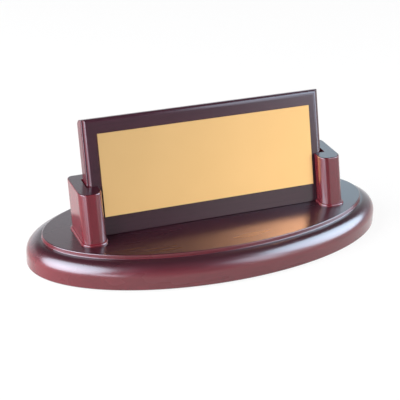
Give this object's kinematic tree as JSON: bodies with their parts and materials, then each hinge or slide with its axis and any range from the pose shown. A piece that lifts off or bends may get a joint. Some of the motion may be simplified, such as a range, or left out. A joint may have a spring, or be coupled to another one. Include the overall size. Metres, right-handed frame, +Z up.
{
  "type": "desk name plate",
  "caption": "Blank gold-coloured plate on a leaning dark wooden board that drops into slotted posts on an oval, moulded-edge wooden base with felt underneath.",
  "frame": {"origin": "on the surface it stands on, under the middle of the oval base", "axes": "+X along the plate to the reader's right, +Y away from the reader, +Z up"},
  "size_m": [0.25, 0.125, 0.0947],
  "materials": {
    "lacquered_wood": "cherry stain under smooth gloss lacquer",
    "dark_lacquered_wood": "dark rosewood stain under smooth gloss lacquer",
    "gold_plate": "fine satin",
    "adhesive_film": "translucent film",
    "plated_steel": "zinc plated",
    "felt": "black pressed felt"
  },
  "bodies": {
    "stand": {"base": "lacquered_wood", "left_post": "lacquered_wood", "right_post": "lacquered_wood", "post_screws": "plated_steel", "base_felt": "felt"},
    "plaque": {"plaque_board": "dark_lacquered_wood", "plate_adhesive": "adhesive_film", "name_plate": "gold_plate"}
  },
  "joints": [
    {"name": "plaque_lift", "type": "slide", "parent": "stand", "child": "plaque", "axis": [0, 0.2672, 0.9636], "range_m": [0, 0.045]}
  ]
}
